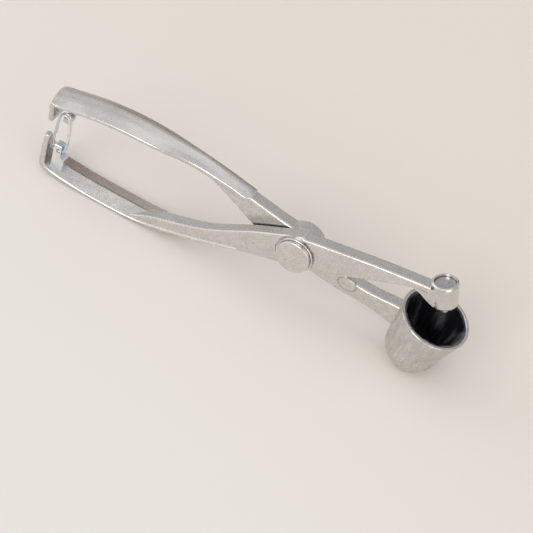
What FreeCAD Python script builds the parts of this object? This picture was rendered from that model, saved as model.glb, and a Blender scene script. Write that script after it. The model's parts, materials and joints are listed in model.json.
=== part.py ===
"""Nutcracker with two crossed cast levers.

The front lever runs from the lower handle, through the pivot, to the jaw bar
that ends in a round knob with a steel spike.  The back lever runs from the
upper handle, behind the front lever at the pivot, to the jaw bar that carries
the nut cup.  A wire loop at the handle ends holds the tool shut in a drawer.

Axes: +X from the handle ends to the cup, +Z up from the table, +Y away from
the front lever towards the back lever.  The origin is at the table plane,
below the middle of the tool's bounding box.  Millimetres.
"""
import FreeCAD
import Part
import math
import os

V = FreeCAD.Vector

# Overall layout
PIVOT_X = 25.25         # pivot axis, ahead of the middle of the tool
PIVOT_Z = 34.0          # pivot axis above the table
PLATE_GAP = 0.2         # each lever plate starts this far from the mid-plane
PLATE_OUT = 7.2         # outer face of each lever plate
EDGE_R = 1.0            # rounding of the cast edges
FRONT_CREST = 0.41      # inner crest of the lower handle, as a share of its width
BACK_CREST = 0.72       # the same for the upper handle

# Pivot
BOSS_R = 9.7            # cast ring round the pivot
BOSS_OUT = 8.5          # outer face of that ring
BACK_BOSS_R = 9.9       # round pivot plate of the back lever
BACK_BOSS_OUT = 7.4
GROOVE_R = 10.6         # shallow groove round that ring
CAP_R = 8.9             # pivot caps
CAP_THICK = 1.7
BACK_CAP_R = 7.9
CAP_GAP = 0.2           # running gap under the front cap
PIN_R = 4.0
RUN_FIT = 0.05          # radial running clearance
WASHER_R = 8.5

# Cup
CUP_X = 72.9            # rim centre, ahead of the pivot
CUP_Z = 34.7            # rim centre above the table
CUP_TILT = 12.8         # forward lean of the cup axis, degrees
CUP_RIM_R = 17.9
CUP_BOTTOM_R = 14.3     # rounded bottom
CUP_TAPER_LEN = 21.8    # rim plane to the centre of the rounded bottom
CUP_WALL = 1.7
LINER_WALL = 1.1
FLUTES = 12

# Knob and spike
KNOB_X = 73.4           # centre of the knob's lower face, ahead of the pivot
KNOB_Z = 46.1
KNOB_TILT = 15.0        # backward lean of the knob axis, degrees
KNOB_R = 6.65
KNOB_LEN = 12.7
STUD_R = 2.2
STUD_HEAD_R = 5.3
STUD_REACH = 6.9        # spike below the knob

# Latch at the handle ends
LATCH_X = -131.5        # loop centre line, behind the pivot
LATCH_Y = -3.0          # plane of the wire loop
LATCH_LOW_Z = 15.2      # wire in the post
LATCH_HIGH_Z = 38.4     # wire at the top of the loop
LATCH_WIDTH = 7.6       # between the two sides of the loop
HOOK_Y = -0.9           # front of the hook that the loop catches
WIRE_R = 0.55
WIRE_PITCH = 1.35       # between the two turns


def rounded_wire(points, radii, place):
    """Closed wire through 2-D points with rounded corners, placed in space."""
    edges = []
    count = len(points)
    starts = []
    ends = []
    arcs = []
    for i in range(count):
        p = points[i]
        a = points[i - 1]
        b = points[(i + 1) % count]
        u = V(a[0] - p[0], a[1] - p[1], 0)
        w = V(b[0] - p[0], b[1] - p[1], 0)
        lu = u.Length
        lw = w.Length
        u.normalize()
        w.normalize()
        half = u.getAngle(w) / 2
        cut = min(radii[i] / math.tan(half), 0.45 * lu, 0.45 * lw)
        radius = cut * math.tan(half)
        corner = V(p[0], p[1], 0)
        bis = u + w
        bis.normalize()
        centre = corner + bis * (radius / math.sin(half))
        starts.append(corner + u * cut)
        ends.append(corner + w * cut)
        arcs.append(centre - bis * radius)
    for i in range(count):
        arc = Part.Arc(place(starts[i]), place(arcs[i]), place(ends[i]))
        edges.append(arc.toShape())
        nxt = (i + 1) % count
        edges.append(Part.makeLine(place(ends[i]), place(starts[nxt])))
    return Part.Wire(edges)


def grip_section(x, z, angle, y0, y1, front, back, ridge, share, crown):
    """Section of a handle: crowned outer face, creased ridge on the inner face."""
    a = math.radians(angle)
    outward = V(math.cos(a), 0, math.sin(a))
    base = V(x, 0, z)
    crest = y0 + share * (y1 - y0)
    rise = crown * min(1.0, max(0.0, (ridge - 2.6) / 3.0))

    def place(p):
        return base + V(0, p.x, 0) - outward * p.y

    cheek = y0 + 0.36 * (y1 - y0)
    top = y0 + 0.72 * (y1 - y0)
    points = [(y0, 0.3 + 2.2 * rise), (cheek, 0.1 + 0.5 * rise), (top, -0.6 * rise),
              (y1, 0.3 + 0.3 * rise), (y1, back), (crest, ridge), (y0, front)]
    radii = [0.9, 14, 5, 0.9, 1.1, 0.8, 1.1]
    return rounded_wire(points, radii, place)


def loft(sections, share, crown):
    """Smooth solid through a list of handle sections."""
    return Part.makeLoft([grip_section(*s, share, crown) for s in sections], True, False)


def spline(points):
    """Smooth edge through points of the XZ plane."""
    curve = Part.BSplineCurve()
    curve.interpolate([V(x, 0, z) for x, z in points])
    return curve.toShape()


def plate(top, low, y0, y1, radius):
    """Plate between two smooth outlines, with rounded long edges."""
    edges = [spline(top)]
    edges.append(Part.makeLine(V(top[-1][0], 0, top[-1][1]), V(low[-1][0], 0, low[-1][1])))
    edges.append(spline(low))
    edges.append(Part.makeLine(V(low[0][0], 0, low[0][1]), V(top[0][0], 0, top[0][1])))
    face = Part.Face(Part.Wire(Part.__sortEdges__(edges)))
    face.translate(V(0, y0, 0))
    solid = face.extrude(V(0, y1 - y0, 0))
    long_edges = []
    for e in solid.Edges:
        flat = abs(e.BoundBox.YMax - e.BoundBox.YMin) < 0.01
        if flat and e.Length > 30:
            long_edges.append(e)
    return solid.makeFillet(radius, long_edges)


def block(points, y0, y1):
    """Straight-sided block from an outline in the XZ plane."""
    face = Part.Face(Part.makePolygon([V(x, y0, z) for x, z in points + points[:1]]))
    return face.extrude(V(0, y1 - y0, 0))


def cyl_y(r, y0, y1, x=0.0, z=PIVOT_Z):
    """Cylinder along Y between two planes."""
    return Part.makeCylinder(r, y1 - y0, V(x, y0, z), V(0, 1, 0))


def rim_cut(solid, radius, pick):
    """Round the circular edges that pick selects."""
    return solid.makeFillet(radius, [e for e in solid.Edges if pick(e)])


def turned(profile, origin, tilt):
    """Solid of revolution from (radius, height) pairs about a leaning axis."""
    points = [V(r, 0, h) for r, h in profile]
    face = Part.Face(Part.makePolygon(points + [points[0]]))
    solid = face.revolve(V(0, 0, 0), V(0, 0, 1), 360)
    solid.rotate(V(0, 0, 0), V(0, 1, 0), tilt)
    solid.translate(origin)
    return solid


# ---------------------------------------------------------------- front lever
FRONT_GRIP = [
    (-138.7, 24.4, 184, -7.2, -3.8, 2.4, 2.4, 2.5),
    (-138.9, 23.3, 182, -7.7, -3.1, 2.8, 2.8, 3.0),
    (-139.2, 19.8, 181, -7.7, -1.8, 2.9, 2.9, 3.1),
    (-139.3, 16.0, 180, -7.8, 0.8, 3.0, 3.0, 3.3),
    (-139.3, 12.2, 180, -7.9, 4.4, 3.1, 3.1, 3.4),
    (-139.2, 8.4, 180, -7.9, 6.8, 3.2, 3.2, 3.5),
    (-138.8, 4.6, 202, -7.9, 7.1, 3.3, 3.4, 3.6),
    (-137.9, 3.0, 225, -7.9, 7.1, 3.4, 3.8, 3.9),
    (-136.4, 2.1, 247, -7.9, 7.1, 3.2, 3.8, 4.5),
    (-133.0, 1.5, 262, -7.9, 7.1, 2.4, 3.6, 5.2),
    (-125.6, 0.8, 265, -7.9, 7.1, 1.6, 3.4, 5.8),
    (-113.7, 0.1, 268, -7.9, 7.1, 1.3, 3.2, 6.0),
    (-102.0, 0.0, 270, -7.9, 7.1, 1.2, 3.1, 6.0),
    (-90.3, 0.2, 272, -7.9, 7.0, 1.2, 3.1, 6.0),
    (-79.0, 1.3, 278, -7.9, 6.1, 1.3, 3.2, 5.9),
    (-67.9, 3.7, 282, -7.9, 3.9, 1.5, 3.5, 5.4),
    (-57.0, 6.5, 285, -7.9, 1.4, 1.7, 3.5, 4.7),
    (-46.4, 9.8, 289, -7.9, -0.3, 1.8, 3.0, 3.7),
    (-36.0, 13.8, 291, -7.8, -0.8, 1.7, 2.3, 2.8),
    (-28.0, 17.0, 291, -7.5, -1.2, 1.4, 1.4, 1.5),
]
FRONT_TOP = [(-85.5, 3.2), (-81.0, 5.6), (-76.0, 8.2), (-69.7, 10.7), (-59.1, 14.3), (-48.6, 18.3),
             (-36.3, 25.1), (-24.0, 32.9), (-12.1, 39.3), (-3.0, 43.6), (5.1, 45.8), (15.3, 47.9),
             (35.5, 51.9), (50.7, 54.4), (66.0, 56.6)]
FRONT_LOW = [(-85.0, 1.0), (-67.9, 4.9), (-46.4, 10.9), (-36.0, 14.6), (-27.0, 17.3),
             (-20.8, 19.4), (-13.1, 21.8), (-4.0, 24.6), (5.0, 27.6), (10.7, 29.7),
             (19.4, 33.5), (29.0, 37.8), (38.4, 42.4), (47.7, 46.9), (55.5, 50.5),
             (66.0, 52.6)]
LUG = [(-8.0, 40.0), (-8.0, 41.0), (1.4, 46.4), (3.2, 45.4), (3.2, 43.0)]
GUSSET = [(54.0, 50.7), (58.0, 51.2), (62.5, 49.9), (67.0, 47.4), (70.5, 46.2),
          (72.0, 50.0), (70.0, 55.6), (60.0, 55.2), (54.0, 54.3)]

# ----------------------------------------------------------------- back lever
BACK_GRIP = [
    (-139.6, 33.5, 179, -6.5, 7.3, 3.0, 3.0, 3.1),
    (-139.8, 34.5, 179, -7.0, 7.8, 3.3, 3.3, 3.5),
    (-140.2, 38.0, 180, -7.1, 7.9, 3.4, 3.4, 3.7),
    (-140.5, 41.0, 178, -7.1, 7.9, 3.5, 3.5, 3.9),
    (-140.6, 43.9, 165, -7.1, 7.9, 3.6, 3.6, 4.0),
    (-140.0, 45.5, 140, -7.1, 7.9, 3.8, 3.8, 4.3),
    (-138.6, 46.3, 117, -7.1, 7.9, 3.9, 3.9, 4.6),
    (-135.5, 47.2, 107, -7.1, 7.9, 3.9, 4.0, 5.3),
    (-129.0, 48.8, 104, -7.1, 7.9, 4.0, 4.4, 6.4),
    (-118.0, 51.3, 101, -7.1, 7.9, 4.3, 4.8, 7.0),
    (-106.0, 53.1, 97, -7.1, 7.9, 4.4, 5.0, 7.0),
    (-93.0, 53.9, 91, -7.0, 7.9, 4.4, 5.0, 7.0),
    (-80.0, 53.5, 87, -5.9, 7.9, 4.5, 5.0, 6.8),
    (-68.0, 52.2, 83, -2.9, 7.9, 4.6, 5.0, 6.2),
    (-57.0, 50.7, 81, -1.4, 7.9, 4.7, 4.8, 5.5),
    (-46.0, 48.9, 80, -1.1, 7.9, 4.5, 4.5, 4.8),
    (-36.0, 47.0, 79, -1.0, 7.8, 4.1, 4.1, 4.3),
    (-33.0, 46.4, 78, -0.9, 7.8, 3.9, 3.9, 4.1),
    (-31.0, 45.9, 77, 0.3, 7.7, 2.9, 2.9, 3.0),
]
BACK_TOP = [(-85.0, 51.1), (-67.9, 50.9), (-46.4, 47.9), (-36.0, 46.3), (-27.0, 44.6),
            (-20.0, 43.3), (-12.0, 41.9), (-4.0, 40.8), (5.0, 38.8), (12.0, 36.4),
            (20.0, 32.6), (28.0, 29.2), (36.0, 27.8), (45.0, 28.0), (62.0, 28.6)]
BACK_LOW = [(-85.5, 47.7), (-69.0, 47.5), (-56.6, 45.3), (-47.1, 41.4), (-37.5, 36.5),
            (-27.0, 30.9), (-16.0, 25.9), (-4.0, 22.6), (9.2, 21.3), (16.7, 20.1),
            (25.3, 19.3), (36.3, 19.0), (45.0, 17.9), (54.0, 15.9), (62.0, 13.9)]


def lever_plate(top, low, side):
    """Web, pivot plate and jaw bar of one lever; side is -1 front, 1 back."""
    if side < 0:
        solid = plate(top, low, -PLATE_OUT, -PLATE_GAP, EDGE_R)
        groove = cyl_y(GROOVE_R, -PLATE_OUT - 1, -PLATE_OUT + 0.5)
        solid = solid.fuse(block(LUG, -PLATE_OUT + 0.3, -PLATE_GAP)).cut(groove)
        boss = cyl_y(BOSS_R, -BOSS_OUT, -PLATE_GAP)
        boss = rim_cut(boss, 0.5, lambda e: e.BoundBox.YMax < -BOSS_OUT + 0.1 and e.Length > 20)
    else:
        solid = plate(top, low, PLATE_GAP, PLATE_OUT, EDGE_R)
        boss = cyl_y(BACK_BOSS_R, PLATE_GAP, BACK_BOSS_OUT)
        boss = rim_cut(boss, 0.7, lambda e: e.BoundBox.YMin > BACK_BOSS_OUT - 0.1 and e.Length > 20)
    return solid.fuse(boss)


def knob_frame():
    """Lower centre and upward axis of the knob."""
    a = math.radians(KNOB_TILT)
    return V(KNOB_X, 0, KNOB_Z), V(-math.sin(a), 0, math.cos(a))


def make_front_lever():
    """Lower handle, web, pivot plate, upper jaw bar and knob."""
    body = loft(FRONT_GRIP, FRONT_CREST, 0.0).fuse(lever_plate(FRONT_TOP, FRONT_LOW, -1))
    base, axis = knob_frame()
    profile = [(0, 0), (KNOB_R - 0.7, 0), (KNOB_R - 0.2, 0.2), (KNOB_R, 0.7),
               (KNOB_R, KNOB_LEN - 1.0), (KNOB_R - 0.3, KNOB_LEN - 0.3),
               (KNOB_R - 0.9, KNOB_LEN), (0, KNOB_LEN)]
    knob = turned(profile, base, -KNOB_TILT)
    body = body.fuse([knob, block(GUSSET, -6.4, -PLATE_GAP)])
    recess = Part.makeCylinder(STUD_HEAD_R, 2.6, base + axis * (KNOB_LEN - 2.4), axis)
    bore = Part.makeCylinder(STUD_R, KNOB_LEN + 2, base - axis, axis)
    pin_bore = cyl_y(PIN_R + RUN_FIT, -20, 5)
    body = body.cut([recess, bore, pin_bore, make_post()])
    return body.removeSplitter()


def make_back_lever():
    """Upper handle, web, pivot plate, lower jaw bar and latch hook."""
    body = loft(BACK_GRIP, BACK_CREST, 1.0).fuse(lever_plate(BACK_TOP, BACK_LOW, 1))
    stem = Part.makeBox(3.9, 6.3, 14.0, V(LATCH_X - 2.1, HOOK_Y, 31.2))
    notch = Part.makeBox(6.0, 5.4, 11.0, V(LATCH_X - 3.0, HOOK_Y - 1.1, 33.8))
    hook = stem.cut(notch)
    body = body.fuse(hook)
    body = body.cut([cup_outside(), cyl_y(PIN_R, -5, 20)])
    return body.removeSplitter()


# ----------------------------------------------------------------------- cup
def cup_profile(inset):
    """Outline of the cup from the rim down, moved inwards by inset."""
    centre = -CUP_TAPER_LEN
    slope = math.atan((CUP_RIM_R - CUP_BOTTOM_R) / CUP_TAPER_LEN)
    r = CUP_BOTTOM_R - inset
    points = [(CUP_RIM_R - inset, 0)]
    steps = 9
    for i in range(steps + 1):
        a = slope - (slope + math.pi / 2) * i / steps
        points.append((r * math.cos(a), centre + r * math.sin(a)))
    points[-1] = (0, centre - r)
    return points


def revolve_outline(outline, top):
    """Leaning solid of revolution under the rim plane, shifted up by top."""
    pts = [V(r, 0, h) for r, h in outline]
    side = Part.makeLine(pts[0], pts[1])
    mid = pts[(len(pts) + 1) // 2]
    bottom = Part.Arc(pts[1], mid, pts[-1]).toShape()
    edges = [side, bottom]
    if top > 0:
        edges.append(Part.makeLine(pts[0], V(pts[0].x, 0, top)))
        edges.append(Part.makeLine(V(pts[0].x, 0, top), V(0, 0, top)))
        edges.append(Part.makeLine(V(0, 0, top), pts[-1]))
    else:
        edges.append(Part.makeLine(pts[0], V(0, 0, 0)))
        edges.append(Part.makeLine(V(0, 0, 0), pts[-1]))
    face = Part.Face(Part.Wire(Part.__sortEdges__(edges)))
    solid = face.revolve(V(0, 0, 0), V(0, 0, 1), 360)
    solid.rotate(V(0, 0, 0), V(0, 1, 0), CUP_TILT)
    solid.translate(V(CUP_X, 0, CUP_Z))
    return solid


def cup_outside():
    """Full outer volume of the cup."""
    return revolve_outline(cup_profile(0), 0)


def make_cup():
    """Tapered cup with a rounded bottom, ground flat where it stands."""
    shell = cup_outside().cut(revolve_outline(cup_profile(CUP_WALL), 3))
    ground = Part.makeBox(80, 80, 20, V(CUP_X - 40, -40, -20))
    shell = shell.cut(ground)
    rim = [e for e in shell.Edges if e.Length > 90]
    return shell.makeFillet(0.5, rim)


def make_liner():
    """Dark insert inside the cup, with shallow flutes down its wall."""
    low = V(math.sin(math.radians(CUP_TILT)), 0, math.cos(math.radians(CUP_TILT)))
    body = revolve_outline(cup_profile(CUP_WALL), 0)
    body = body.cut(revolve_outline(cup_profile(CUP_WALL + LINER_WALL), 3))
    trim = Part.makeCylinder(40, 10, V(CUP_X, 0, CUP_Z) - low * 0.6, low)
    body = body.cut(trim)
    flute_r = 2.2
    flutes = []
    for i in range(FLUTES):
        a = 2 * math.pi * i / FLUTES
        top_r = CUP_RIM_R - CUP_WALL - LINER_WALL - flute_r + 0.35
        low_r = CUP_BOTTOM_R - CUP_WALL - LINER_WALL - flute_r + 0.35
        top = V(top_r * math.cos(a), top_r * math.sin(a), 0)
        bot = V(low_r * math.cos(a), low_r * math.sin(a), -CUP_TAPER_LEN)
        run = top - bot
        flute = Part.makeCylinder(flute_r, run.Length, bot, run)
        flute.rotate(V(0, 0, 0), V(0, 1, 0), CUP_TILT)
        flute.translate(V(CUP_X, 0, CUP_Z))
        flutes.append(flute)
    return body.cut(flutes)


# --------------------------------------------------------------- small pieces
def make_stud():
    """Steel spike through the knob, with a flat head in the knob's recess."""
    base, axis = knob_frame()
    top = KNOB_LEN - 1.3
    seat = KNOB_LEN - 2.4
    profile = [(0, -STUD_REACH), (0.8, -STUD_REACH + 0.2), (STUD_R, -STUD_REACH + 2.6),
               (STUD_R, seat), (STUD_HEAD_R, seat), (STUD_HEAD_R, top - 0.3),
               (STUD_HEAD_R - 0.3, top), (0, top)]
    return turned(profile, base, -KNOB_TILT)


def make_pin():
    """Plain pivot pin through both lever plates."""
    return cyl_y(PIN_R, -BOSS_OUT - CAP_GAP - 1.0, BACK_BOSS_OUT + 1.0)


def make_cap(side):
    """Round cap pressed on one end of the pivot pin."""
    if side < 0:
        inner = -BOSS_OUT - CAP_GAP
        cap = cyl_y(CAP_R, inner - CAP_THICK, inner)
        cap = rim_cut(cap, 0.6, lambda e: e.BoundBox.YMax < inner - CAP_THICK + 0.1 and e.Length > 20)
        return cap.cut(cyl_y(PIN_R, inner - 1.0, inner + 1))
    cap = cyl_y(BACK_CAP_R, BACK_BOSS_OUT, BACK_BOSS_OUT + CAP_THICK)
    top = BACK_BOSS_OUT + CAP_THICK - 0.1
    cap = rim_cut(cap, 0.6, lambda e: e.BoundBox.YMin > top and e.Length > 20)
    return cap.cut(cyl_y(PIN_R, BACK_BOSS_OUT - 1, BACK_BOSS_OUT + 1.0))


def make_washer():
    """Thin washer between the two lever plates, held by the back lever."""
    ring = cyl_y(WASHER_R, -PLATE_GAP + 0.05, PLATE_GAP)
    return ring.cut(cyl_y(PIN_R, -2, 2))


def make_post():
    """Plated stepped post set in the lower handle, bored for the wire loop."""
    low = 2.4
    step = 12.6
    high = LATCH_LOW_Z + 4.6
    side = [(-1.8, low), (4.8, low), (4.8, step), (2.5, step), (2.5, high), (-1.8, high)]
    front = [(-2.5, low), (2.5, low), (2.5, high), (-2.5, high)]

    def place_side(p):
        return V(LATCH_X + p.x, LATCH_Y - 5, p.y)

    def place_front(p):
        return V(LATCH_X - 8, LATCH_Y + p.x, p.y)

    side_wire = rounded_wire(side, [0.2, 0.2, 1.3, 0.5, 1.3, 1.3], place_side)
    front_wire = rounded_wire(front, [0.2, 0.2, 1.1, 1.1], place_front)
    post = Part.Face(side_wire).extrude(V(0, 10, 0))
    post = post.common(Part.Face(front_wire).extrude(V(16, 0, 0)))
    bore = Part.makeCylinder(2.05, 14, V(LATCH_X - 6, LATCH_Y, LATCH_LOW_Z), V(1, 0, 0))
    window = Part.makeCylinder(1.2, 4, V(LATCH_X + 0.9, LATCH_Y - 4, LATCH_LOW_Z + 1.2), V(0, 1, 0))
    return post.cut([bore, window])


def make_loop():
    """Two-turn oval wire loop that hangs in the post's bore."""
    half_w = LATCH_WIDTH / 2
    half_h = (LATCH_HIGH_Z - LATCH_LOW_Z) / 2
    mid_z = (LATCH_HIGH_Z + LATCH_LOW_Z) / 2
    turns = 1.86
    points = []
    steps = 88
    for i in range(steps + 1):
        a = -2.2 + 2 * math.pi * turns * i / steps
        c = math.cos(a)
        s = math.sin(a)
        power = 0.8 if s > 0 else 0.45
        x = LATCH_X + half_w * math.copysign(abs(c) ** power, c)
        z = mid_z + half_h * math.copysign(abs(s) ** power, s)
        y = LATCH_Y + WIRE_PITCH * (turns * i / steps - turns / 2)
        points.append(V(x, y, z))
    path = Part.BSplineCurve()
    path.interpolate(points)
    edge = path.toShape()
    start = edge.valueAt(edge.FirstParameter)
    along = edge.tangentAt(edge.FirstParameter)
    ring = Part.Wire([Part.makeCircle(WIRE_R, start, along)])
    return Part.Wire([edge]).makePipeShell([ring], True, True)


PARTS = {
    "front_lever": make_front_lever,
    "back_lever": make_back_lever,
    "cup": make_cup,
    "cup_liner": make_liner,
    "crusher_stud": make_stud,
    "pivot_pin": make_pin,
    "pivot_cap_front": lambda: make_cap(-1),
    "pivot_cap_back": lambda: make_cap(1),
    "pivot_washer": make_washer,
    "latch_post": make_post,
    "latch_loop": make_loop,
}

os.makedirs("parts", exist_ok=True)
for name, make in PARTS.items():
    shape = make()
    shape.translate(V(PIVOT_X, 0, 0))
    solids = shape.Solids
    box = shape.optimalBoundingBox()
    print(name, "solids", len(solids), "valid", shape.isValid(), "volume", round(shape.Volume, 1),
          "x", round(box.XMin, 2), round(box.XMax, 2), "y", round(box.YMin, 2), round(box.YMax, 2),
          "z", round(box.ZMin, 2), round(box.ZMax, 2))
    solids[0].exportStep("parts/" + name + ".step")
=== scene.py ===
"""Nutcracker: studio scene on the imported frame.  Metres, same axes as the CAD."""
import json
import math

import bpy
from mathutils import Matrix, Vector

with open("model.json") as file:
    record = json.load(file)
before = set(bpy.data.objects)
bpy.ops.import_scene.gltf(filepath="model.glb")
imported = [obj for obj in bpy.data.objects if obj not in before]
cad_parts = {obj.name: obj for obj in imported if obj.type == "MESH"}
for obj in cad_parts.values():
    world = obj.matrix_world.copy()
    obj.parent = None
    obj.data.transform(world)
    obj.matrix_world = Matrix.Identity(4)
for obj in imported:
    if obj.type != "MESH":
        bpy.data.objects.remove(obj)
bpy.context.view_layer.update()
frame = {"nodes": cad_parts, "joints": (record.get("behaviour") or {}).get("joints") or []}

NODES = frame["nodes"]

# Places on the object, in metres
PIVOT = tuple(next(j["pos_m"] for j in frame["joints"] if j["name"] == "jaw_pivot"))
ACROSS = (math.radians(90), 0, 0)       # turns the pivot axis upright
KNOB_FOOT = (0.09865, 0.0, 0.0461)
KNOB_TILT = math.radians(-15.0)
KNOB_RINGS = 13000                      # radians per metre along the knob
CUP_RIM = (0.09815, 0.0, 0.0347)
CUP_TILT = math.radians(12.8)
MARK = (0.0525, 0.0258)                 # middle of the oval on the lower jaw bar, X and Z

# Fine detail of the castings, in metres
WORN_HIGHLIGHT_WIDTH = 0.0009                     # how far an edge is worn and carries a painted highlight
CORNER_SHADE_REACH = 0.0016                     # how far painted shade reaches into corners
CAST_RELIEF = 0.00011
FINE_RELIEF = 0.00005
CAP_RING_PITCH = 0.00042
STEEL_RING_PITCH = 0.00034


# ------------------------------------------------------------- node helpers
class Graph:
    """Small helper that builds a node tree by calls."""

    def __init__(self, tree):
        self.tree = tree
        tree.nodes.clear()

    def add(self, kind, inputs=None, **props):
        node = self.tree.nodes.new(kind)
        for key, value in props.items():
            setattr(node, key, value)
        for key, value in (inputs or {}).items():
            self.put(node.inputs[key], value)
        return node

    def put(self, socket, value):
        if isinstance(value, bpy.types.NodeSocket):
            self.tree.links.new(value, socket)
        else:
            socket.default_value = value

    def math(self, op, a, b=0.0, c=0.0, clamp=False):
        node = self.add("ShaderNodeMath", operation=op, use_clamp=clamp)
        for socket, value in zip(node.inputs, (a, b, c)):
            self.put(socket, value)
        return node.outputs[0]

    def vec(self, op, a, b=(0, 0, 0), scale=None):
        node = self.add("ShaderNodeVectorMath", operation=op)
        self.put(node.inputs[0], a)
        self.put(node.inputs[1], b)
        if scale is not None:
            self.put(node.inputs["Scale"], scale)
        return node.outputs["Value"] if op in ("LENGTH", "DOT_PRODUCT") else node.outputs[0]

    def ramp(self, value, lo, hi, out_lo=0.0, out_hi=1.0, smooth=True):
        node = self.add("ShaderNodeMapRange", interpolation_type="SMOOTHSTEP" if smooth else "LINEAR")
        for socket, v in zip(node.inputs, (value, lo, hi, out_lo, out_hi)):
            self.put(socket, v)
        return node.outputs[0]

    def mix(self, factor, a, b, mode="MIX"):
        node = self.add("ShaderNodeMix", data_type="RGBA", blend_type=mode)
        self.put(node.inputs[0], factor)
        self.put(node.inputs[6], a)
        self.put(node.inputs[7], b)
        return node.outputs[2]

    def noise(self, vector, scale, detail=3.0, rough=0.55, distortion=0.0):
        node = self.add("ShaderNodeTexNoise", {"Vector": vector, "Scale": scale, "Detail": detail,
                                               "Roughness": rough, "Distortion": distortion})
        return node.outputs["Fac"]

    def cells(self, vector, scale):
        node = self.add("ShaderNodeTexVoronoi", {"Vector": vector, "Scale": scale})
        return node.outputs["Distance"]

    def shift(self, vector, offset, rotation=(0, 0, 0), scale=(1, 1, 1)):
        node = self.add("ShaderNodeMapping", {"Vector": vector, "Location": offset,
                                              "Rotation": rotation, "Scale": scale})
        return node.outputs[0]


def rgb(r, g, b):
    return (r, g, b, 1.0)


def new_material(name):
    mat = bpy.data.materials.new(name)
    mat.use_nodes = True
    return mat, Graph(mat.node_tree)


def close_material(g, color, roughness, height, distance, strength, metallic=1.0, **fixed):
    """Principled surface with bump, and the output."""
    bump = g.add("ShaderNodeBump", {"Height": height, "Distance": distance, "Strength": strength})
    shader = g.add("ShaderNodeBsdfPrincipled", {"Base Color": color, "Roughness": roughness,
                                                "Normal": bump.outputs[0], "Metallic": metallic})
    for key, value in fixed.items():
        shader.inputs[key.replace("_", " ")].default_value = value
    out = g.add("ShaderNodeOutputMaterial")
    g.tree.links.new(shader.outputs[0], out.inputs[0])


def sum_of(g, *terms):
    total = None
    for value, weight in terms:
        part = g.math("MULTIPLY", value, weight)
        total = part if total is None else g.math("ADD", total, part)
    return total


def rings(g, place, centre, rotation, pitch):
    """Fine turned rings round an axis, from 0 to 1."""
    local = g.shift(g.vec("SUBTRACT", place, centre), (0, 0, 0), rotation)
    flat = g.vec("MULTIPLY", local, (1, 1, 0))
    radius = g.vec("LENGTH", flat)
    wobble = g.math("MULTIPLY", g.noise(place, 300, 2), 0.00018)
    wave = g.math("SINE", g.math("MULTIPLY", g.math("ADD", radius, wobble), 2 * math.pi / pitch))
    return g.math("MULTIPLY_ADD", wave, 0.5, 0.5)


# ------------------------------------------------------------- cast aluminium
def cast_metal(name, light, dark, seed, mark=False, turned=None, extra=None):
    """Tumbled die-cast metal: grain, soft dents, pits, drag lines, worn edges with a painted
    highlight, and painted shade in corners.
    """
    mat, g = new_material(name)
    coord = g.add("ShaderNodeTexCoord").outputs["Object"]
    place = g.vec("ADD", coord, (seed, 0.7 * seed, 0.3 * seed))
    grain = g.noise(place, 1500, 5, 0.7)
    mottle = g.noise(place, 330, 4, 0.6, 0.4)
    patch = g.noise(place, 55, 3, 0.5)
    dents = g.noise(place, 130, 2, 0.4)
    drag = g.noise(g.shift(place, (0, 0, 0), (0, 0, 0), (0.05, 1.3, 1.3)), 1500, 3, 0.6)
    pit_seed = g.cells(place, 420)
    pit_area = g.ramp(g.noise(place, 260, 2), 0.56, 0.64)
    pits = g.math("MULTIPLY", g.ramp(pit_seed, 0.10, 0.26, 1.0, 0.0), pit_area)
    face = g.add("ShaderNodeNewGeometry").outputs["Normal"]
    soft = g.add("ShaderNodeBevel", {"Radius": WORN_HIGHLIGHT_WIDTH}, samples=4).outputs[0]
    edge = g.ramp(g.vec("DOT_PRODUCT", face, soft), 0.90, 0.995, 1.0, 0.0)
    worn_and_highlight = g.math("MULTIPLY", edge, g.ramp(g.noise(place, 420, 3, 0.6), 0.25, 0.50, 0.35, 1.0))
    tone = sum_of(g, (patch, 0.20), (mottle, 0.35), (grain, 0.45))
    tone = g.ramp(tone, 0.33, 0.67)
    color = g.mix(tone, dark, light)
    # Painted shade: an AO mask darkens corners, crevices and the gaps between parts toward
    # near-black.
    corner_shade = g.add("ShaderNodeAmbientOcclusion", {"Distance": CORNER_SHADE_REACH}, samples=4).outputs["AO"]
    corner_shade = g.ramp(corner_shade, 0.25, 0.85, 1.0, 0.0)
    color = g.mix(g.math("MULTIPLY", corner_shade, 0.75), color, rgb(0.10, 0.09, 0.08))
    color = g.mix(g.math("MULTIPLY", pits, 0.55), color, rgb(0.22, 0.20, 0.18))
    # Partly real wear, partly painted highlight: edges are mixed toward near-white so they show as
    # bright highlight lines.
    color = g.mix(g.math("MULTIPLY", worn_and_highlight, 0.75), color, rgb(0.95, 0.94, 0.92))
    rough = sum_of(g, (mottle, 0.12), (grain, 0.12), (patch, 0.06))
    rough = g.math("ADD", rough, 0.12)
    rough = g.math("MULTIPLY_ADD", worn_and_highlight, -0.10, rough)
    rough = g.math("MULTIPLY_ADD", pits, 0.2, rough, clamp=True)
    height = sum_of(g, (grain, 0.26), (mottle, 0.36), (dents, 0.7), (drag, 0.10), (pits, -0.8))
    if extra:
        color, rough, height = extra(g, coord, color, rough, height)
    if turned:
        height = g.math("MULTIPLY_ADD", rings(g, coord, *turned), 0.22, height)
    if mark:
        height, color = oval_mark(g, coord, height, color)
    close_material(g, color, rough, height, CAST_RELIEF, 0.42, metallic=0.93)
    return mat


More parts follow.
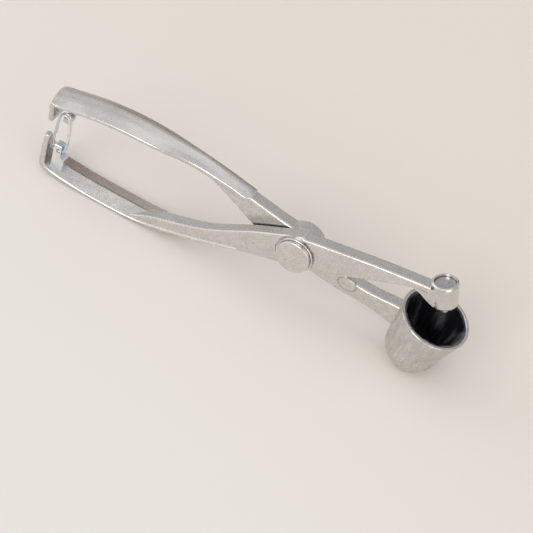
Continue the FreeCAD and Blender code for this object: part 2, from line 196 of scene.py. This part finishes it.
def front_details(g, coord, color, rough, height):
    """Parting line along the lower handle, and the smoother turned knob."""
    x, y, z = g.add("ShaderNodeSeparateXYZ", {0: coord}).outputs
    line = g.ramp(x, -0.066, -0.042, -0.00160, -0.00290, smooth=False)
    waver = g.math("MULTIPLY_ADD", g.noise(coord, 120, 2), 0.0003, -0.00015)
    off = g.math("ABSOLUTE", g.math("SUBTRACT", y, g.math("ADD", line, waver)))
    seam = g.ramp(off, 0.00012, 0.00042, 1.0, 0.0)
    seam = g.math("MULTIPLY", seam, g.ramp(x, -0.100, -0.098))
    seam = g.math("MULTIPLY", seam, g.ramp(x, -0.056, -0.048, 1.0, 0.0))
    seam = g.math("MULTIPLY", seam, g.ramp(z, 0.002, 0.003))
    seam = g.math("MULTIPLY", seam, g.ramp(g.noise(coord, 160, 2), 0.30, 0.48, 0.55, 1.0))
    color = g.mix(g.math("MULTIPLY", seam, 0.8), color, rgb(0.10, 0.09, 0.085))
    height = g.math("MULTIPLY_ADD", seam, -0.9, height)
    local = g.shift(g.vec("SUBTRACT", coord, KNOB_FOOT), (0, 0, 0), (0, -KNOB_TILT, 0))
    from_axis = g.vec("LENGTH", g.vec("MULTIPLY", local, (1, 1, 0)))
    knob = g.ramp(from_axis, 0.0068, 0.0076, 1.0, 0.0)
    knob = g.math("MULTIPLY", knob, g.ramp(x, 0.088, 0.090))
    rough = g.math("MULTIPLY", rough, g.ramp(knob, 0.0, 1.0, 1.0, 0.55))
    along = g.add("ShaderNodeSeparateXYZ", {0: local}).outputs[2]
    turning = g.math("SINE", g.math("MULTIPLY", along, KNOB_RINGS))
    height = g.math("MULTIPLY_ADD", g.math("MULTIPLY", turning, knob), 0.10, height)
    return color, rough, height


def cup_details(g, coord, color, rough, height):
    """Smoother rim, and faint vertical polish marks down the side."""
    local = g.shift(g.vec("SUBTRACT", coord, CUP_RIM), (0, 0, 0), (0, -CUP_TILT, 0))
    depth = g.add("ShaderNodeSeparateXYZ", {0: local}).outputs[2]
    rim = g.ramp(depth, -0.0022, -0.0004)
    streak = g.noise(g.shift(local, (3.3, 0, 0), (0, 0, 0), (1, 1, 0.08)), 620, 3, 0.6)
    color = g.mix(g.math("MULTIPLY", g.ramp(streak, 0.42, 0.62), 0.30), color, rgb(0.36, 0.345, 0.33))
    rough = g.math("MULTIPLY", rough, g.ramp(rim, 0.0, 1.0, 1.0, 0.55))
    height = g.math("MULTIPLY_ADD", streak, 0.25, height)
    return color, rough, height


def oval_mark(g, coord, height, color):
    """A plain oval on the lower jaw bar, as bump and tone."""
    local = g.vec("SUBTRACT", coord, (MARK[0], 0.0, MARK[1]))
    local = g.shift(local, (0, 0, 0), (0, math.radians(4), 0), (1 / 0.0050, 0, 1 / 0.0037))
    d = g.vec("LENGTH", local)
    ring = g.math("SUBTRACT", g.ramp(d, 0.80, 0.90), g.ramp(d, 0.96, 1.08))
    inner = g.ramp(g.vec("LENGTH", g.vec("MULTIPLY", local, (1.0, 0.0, 1.9))), 0.30, 0.46, 1.0, 0.0)
    near = g.ramp(g.add("ShaderNodeSeparateXYZ", {0: coord}).outputs[1], 0.001, 0.0015, 1.0, 0.0)
    shape = g.math("MULTIPLY", g.math("MAXIMUM", ring, inner), near)
    height = g.math("MULTIPLY_ADD", shape, 2.6, height)
    groove = g.math("SUBTRACT", g.ramp(d, 0.86, 0.94), g.ramp(d, 1.00, 1.10))
    dish = g.math("SUBTRACT", g.ramp(inner, 0.15, 0.45), g.ramp(inner, 0.55, 0.85))
    dark = g.math("MULTIPLY", g.math("MAXIMUM", groove, dish), near)
    return height, g.mix(g.math("MULTIPLY", dark, 0.62), color, rgb(0.27, 0.25, 0.23))


# --------------------------------------------------------------- other metals
def turned_steel(name, base, centre, rotation, seed):
    """Bright turned steel with fine concentric rings and light stains."""
    mat, g = new_material(name)
    coord = g.add("ShaderNodeTexCoord").outputs["Object"]
    place = g.vec("ADD", coord, (seed, 0.4 * seed, 0.2 * seed))
    wave = rings(g, coord, centre, rotation, STEEL_RING_PITCH)
    grain = g.noise(place, 2200, 4, 0.65)
    stain = g.noise(place, 260, 4, 0.6, 0.6)
    tone = g.ramp(sum_of(g, (stain, 0.6), (grain, 0.4)), 0.35, 0.65)
    darker = tuple(0.72 * v for v in base[:3]) + (1.0,)
    color = g.mix(tone, darker, base)
    rough = g.math("ADD", sum_of(g, (stain, 0.16), (grain, 0.12), (wave, 0.05)), 0.14)
    height = sum_of(g, (wave, 0.35), (grain, 0.35), (stain, 0.5))
    close_material(g, color, rough, height, FINE_RELIEF, 0.35)
    return mat


def zinc_plate(name, seed, drawn=False):
    """Bluish bright zinc plating with pale clouds and dull spots; drawn adds long lines."""
    mat, g = new_material(name)
    coord = g.add("ShaderNodeTexCoord").outputs["Object"]
    place = g.vec("ADD", coord, (seed, 0.5 * seed, 0.9 * seed))
    cloud = g.noise(place, 320, 4, 0.6, 0.8)
    tint = g.noise(place, 150, 2, 0.5)
    grain = g.noise(place, 2600, 4, 0.7)
    spots = g.ramp(g.cells(place, 900), 0.12, 0.30, 1.0, 0.0)
    spots = g.math("MULTIPLY", spots, g.ramp(cloud, 0.52, 0.66))
    color = g.mix(g.ramp(tint, 0.38, 0.62), rgb(0.64, 0.71, 0.80), rgb(0.84, 0.85, 0.83))
    color = g.mix(g.math("MULTIPLY", g.ramp(cloud, 0.4, 0.7), 0.4), color, rgb(0.88, 0.92, 0.97))
    color = g.mix(g.math("MULTIPLY", spots, 0.6), color, rgb(0.33, 0.34, 0.36))
    rough = g.math("ADD", sum_of(g, (cloud, 0.18), (grain, 0.10), (spots, 0.2)), 0.10)
    terms = [(grain, 0.3), (cloud, 0.6), (spots, -0.5)]
    if drawn:
        stretch = g.noise(g.shift(place, (0, 0, 0), (0, 0, 0), (1.2, 1.2, 0.04)), 2400, 2, 0.5)
        terms.append((stretch, 0.5))
    close_material(g, color, rough, sum_of(g, *terms), FINE_RELIEF, 0.35)
    return mat


def black_liner(name):
    """Glossy black enamel with faint smears, dust and fine orange-peel."""
    mat, g = new_material(name)
    coord = g.add("ShaderNodeTexCoord").outputs["Object"]
    rotated = g.shift(g.vec("SUBTRACT", coord, CUP_RIM), (0, 0, 0), (0, -CUP_TILT, 0), (1, 1, 0.12))
    streak = g.noise(rotated, 120, 2, 0.5, 0.3)
    peel = g.noise(coord, 900, 3, 0.5)
    smear = g.noise(coord, 90, 3, 0.5, 0.8)
    dust = g.math("MULTIPLY", g.ramp(g.cells(coord, 1100), 0.06, 0.16, 1.0, 0.0),
                  g.ramp(g.noise(coord, 380, 2), 0.58, 0.66))
    color = g.mix(g.ramp(streak, 0.44, 0.62), rgb(0.008, 0.008, 0.011), rgb(0.085, 0.083, 0.088))
    color = g.mix(g.math("MULTIPLY", dust, 0.35), color, rgb(0.16, 0.15, 0.14))
    rough = g.math("ADD", sum_of(g, (streak, 0.22), (smear, 0.14), (dust, 0.25)), 0.08)
    height = sum_of(g, (peel, 0.5), (smear, 0.6), (dust, 0.3))
    close_material(g, color, rough, height, 0.00004, 0.30, metallic=0.0,
                   IOR=1.52, Coat_Weight=0.35, Coat_Roughness=0.08)
    return mat


LIGHT = rgb(0.715, 0.695, 0.675)
DARK = rgb(0.585, 0.565, 0.545)
pivot_rings = (PIVOT, ACROSS, CAP_RING_PITCH)

MATERIALS = {
    "front_lever": cast_metal("cast_front", LIGHT, DARK, 0.31, extra=front_details),
    "back_lever": cast_metal("cast_back", LIGHT, DARK, 1.73, mark=True),
    "cup": cast_metal("cup_metal", rgb(0.66, 0.645, 0.63), rgb(0.56, 0.545, 0.525), 2.91,
                      extra=cup_details),
    "pivot_cap_front": cast_metal("cap_metal", rgb(0.72, 0.70, 0.675), rgb(0.60, 0.58, 0.555),
                                  4.2, turned=pivot_rings),
    "pivot_cap_back": cast_metal("cap_metal_back", rgb(0.66, 0.62, 0.57), rgb(0.52, 0.48, 0.43),
                                 5.3, turned=pivot_rings),
    "cup_liner": black_liner("liner_black"),
    "crusher_stud": turned_steel("stud_steel", rgb(0.66, 0.65, 0.63), KNOB_FOOT,
                                 (0, -KNOB_TILT, 0), 3.1),
    "pivot_pin": turned_steel("pin_steel", rgb(0.62, 0.62, 0.62), PIVOT, ACROSS, 1.1),
    "pivot_washer": turned_steel("washer_steel", rgb(0.50, 0.49, 0.47), PIVOT, ACROSS, 2.4),
    "latch_post": zinc_plate("plated_post", 0.9),
    "latch_loop": zinc_plate("plated_wire", 2.2, drawn=True),
}
for node_name, material in MATERIALS.items():
    data = NODES[node_name].data
    data.materials.clear()
    data.materials.append(material)


# --------------------------------------------------------------- floor, light
def make_floor():
    """Wide pale cream sheet under the tool, with a painted light falloff across it."""
    mesh = bpy.data.meshes.new("floor")
    size = 3.0
    mesh.from_pydata([(-size, -size, 0), (size, -size, 0), (size, size, 0), (-size, size, 0)], [],
                     [(0, 1, 2, 3)])
    floor = bpy.data.objects.new("floor", mesh)
    floor.location = (0, 0, -0.0001)
    bpy.context.scene.collection.objects.link(floor)
    mat, g = new_material("floor_cream")
    coord = g.add("ShaderNodeTexCoord").outputs["Object"]
    soft = g.noise(coord, 4, 2, 0.5)
    fine = g.noise(coord, 700, 3, 0.6)
    # Painted light falloff: the floor colour is paler and cooler toward one side and darker and
    # warmer toward the other.
    across = g.vec("DOT_PRODUCT", coord, (0.36, 0.93, 0.0))
    painted_falloff = g.ramp(g.math("MULTIPLY_ADD", soft, 0.06, across), -0.16, 0.22)
    color = g.mix(painted_falloff, rgb(0.845, 0.805, 0.765), rgb(0.815, 0.755, 0.675))
    color = g.mix(g.math("MULTIPLY", fine, 0.06), color, rgb(0.74, 0.69, 0.62))
    close_material(g, color, 0.75, fine, FINE_RELIEF, 0.1, metallic=0.0)
    mesh.materials.append(mat)


def make_world():
    """Pale soft room: a bright panel over the front, and a wooden edge low at the back."""
    world = bpy.data.worlds.new("studio")
    bpy.context.scene.world = world
    world.use_nodes = True
    g = Graph(world.node_tree)
    ray = g.add("ShaderNodeTexCoord").outputs["Generated"]

    def lobe(direction, lo, hi, power):
        d = Vector(direction).normalized()
        return g.math("MULTIPLY", g.ramp(g.vec("DOT_PRODUCT", ray, tuple(d)), lo, hi), power)

    axes = g.add("ShaderNodeSeparateXYZ", {0: ray})
    along, depth, up = axes.outputs
    base = g.mix(g.ramp(up, -0.05, 0.45), rgb(0.66, 0.60, 0.54), rgb(0.74, 0.74, 0.755))
    base = g.mix(lobe((0.0, 0.72, 0.70), 0.80, 0.97, 0.45), base, rgb(0.50, 0.49, 0.49))
    low = g.math("MULTIPLY", g.ramp(up, 0.16, 0.23), g.ramp(up, 0.36, 0.46, 1.0, 0.0))
    wood = g.math("MULTIPLY", low, g.ramp(depth, 0.72, 0.84))
    wood = g.math("MULTIPLY", wood, g.ramp(along, -0.56, -0.42))
    base = g.mix(g.math("MULTIPLY", wood, 0.95), base, rgb(0.20, 0.075, 0.022))
    panel = lobe((-0.16, -0.86, 0.49), 0.925, 0.99, 4.5)
    left = lobe((-0.90, -0.1, 0.42), 0.78, 0.97, 0.9)
    strip = lobe((0.72, -0.62, 0.35), 0.90, 0.98, 1.6)
    zenith = lobe((-0.15, 0.12, 1.0), 0.90, 0.99, 0.55)
    glow = g.math("ADD", g.math("ADD", panel, left), g.math("ADD", strip, zenith))
    color = g.vec("ADD", base, g.vec("SCALE", (1.0, 0.99, 0.98), scale=glow))
    shade = g.add("ShaderNodeBackground", {"Color": color, "Strength": 0.81})
    out = g.add("ShaderNodeOutputWorld")
    g.tree.links.new(shade.outputs[0], out.inputs[0])


def area(name, place, target, size, power, color=(1, 1, 1)):
    light = bpy.data.lights.new(name, "AREA")
    light.shape = "RECTANGLE"
    light.size, light.size_y = size
    light.energy = power
    light.color = color
    lamp = bpy.data.objects.new(name, light)
    lamp.location = place
    aim = Vector(target) - Vector(place)
    lamp.rotation_euler = aim.to_track_quat("-Z", "Y").to_euler()
    lamp.visible_glossy = False
    bpy.context.scene.collection.objects.link(lamp)


make_floor()
make_world()
area("window", (-0.55, -0.75, 1.05), (0, 0, 0.02), (0.7, 0.5), 1.5, (1.0, 0.99, 0.97))
area("fill", (0.9, -0.35, 0.8), (0.03, 0, 0.02), (0.5, 0.5), 0.4, (1.0, 0.97, 0.93))

# -------------------------------------------------------------------- camera
AIM = Vector((0.014247, -0.007849, 0.018251))
DISTANCE = 0.96
AZIMUTH, ELEVATION, ROLL = (math.radians(angle) for angle in (14.51188, 44.59742, 18.47897))


def make_camera():
    """Long-lens camera round AIM, rolled about its own line of sight."""
    camera = bpy.data.objects.new("camera", bpy.data.cameras.new("camera"))
    camera.data.sensor_width = 36.0
    camera.data.lens = 135.08
    camera.data.clip_start, camera.data.clip_end = 0.02, 20.0
    turn = Matrix.Rotation(AZIMUTH, 4, "Z") @ Matrix.Rotation(math.pi / 2 - ELEVATION, 4, "X")
    turn = turn @ Matrix.Rotation(ROLL, 4, "Z")
    back = turn.to_3x3() @ Vector((0, 0, 1))
    camera.matrix_world = Matrix.Translation(AIM + DISTANCE * back) @ turn
    bpy.context.scene.collection.objects.link(camera)
    bpy.context.scene.camera = camera


make_camera()
bpy.context.scene.view_settings.view_transform = "Standard"
bpy.context.view_layer.update()
